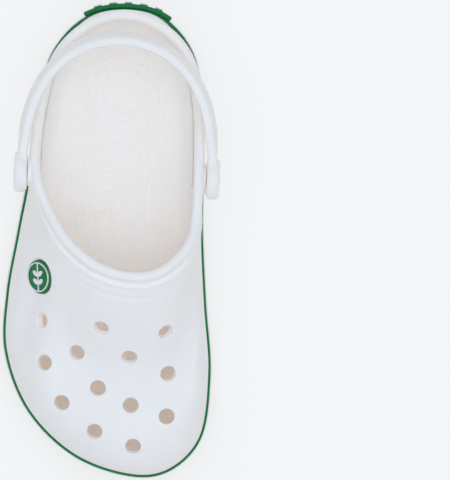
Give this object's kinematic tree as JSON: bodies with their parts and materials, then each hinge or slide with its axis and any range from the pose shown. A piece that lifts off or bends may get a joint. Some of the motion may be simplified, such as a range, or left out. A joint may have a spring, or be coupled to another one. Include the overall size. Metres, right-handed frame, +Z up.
{
  "type": "garden clog",
  "caption": "Moulded foam garden clog for the right foot, with a vented toe box, a striped sole and a heel strap that swings on rivets.",
  "frame": {"origin": "on the ground, under the middle of the clog's length and width", "axes": "+X towards the inner (medial) side, +Y from the toe to the heel, +Z up"},
  "size_m": [0.1291, 0.2832, 0.1],
  "materials": {
    "white_foam": "satin",
    "footbed_foam": "matte",
    "green_foam": "satin",
    "tread_rubber": "matte",
    "pale_print": "matte",
    "badge_green": "gloss",
    "badge_white": "satin",
    "rivet_white": "satin"
  },
  "bodies": {
    "clog": {"outsole": "tread_rubber", "midsole": "white_foam", "midsole_stripe": "green_foam", "footbed": "footbed_foam", "upper_shell": "white_foam", "heel_label": "green_foam", "heel_label_rib_1": "pale_print", "heel_label_rib_2": "pale_print", "heel_label_rib_3": "pale_print", "heel_label_rib_4": "pale_print", "heel_label_rib_5": "pale_print", "badge_disc": "badge_green", "badge_emblem": "badge_white", "rivet_head_lateral": "rivet_white", "rivet_base_lateral": "rivet_white", "rivet_head_medial": "rivet_white", "rivet_base_medial": "rivet_white"},
    "strap": {"heel_strap": "white_foam"}
  },
  "joints": [
    {"name": "strap_swing", "type": "hinge", "parent": "clog", "child": "strap", "pos_m": [0.00342, 0.038, 0.068], "axis": [0.9992, -0.04, 0], "range_deg": [-2, 128]}
  ]
}
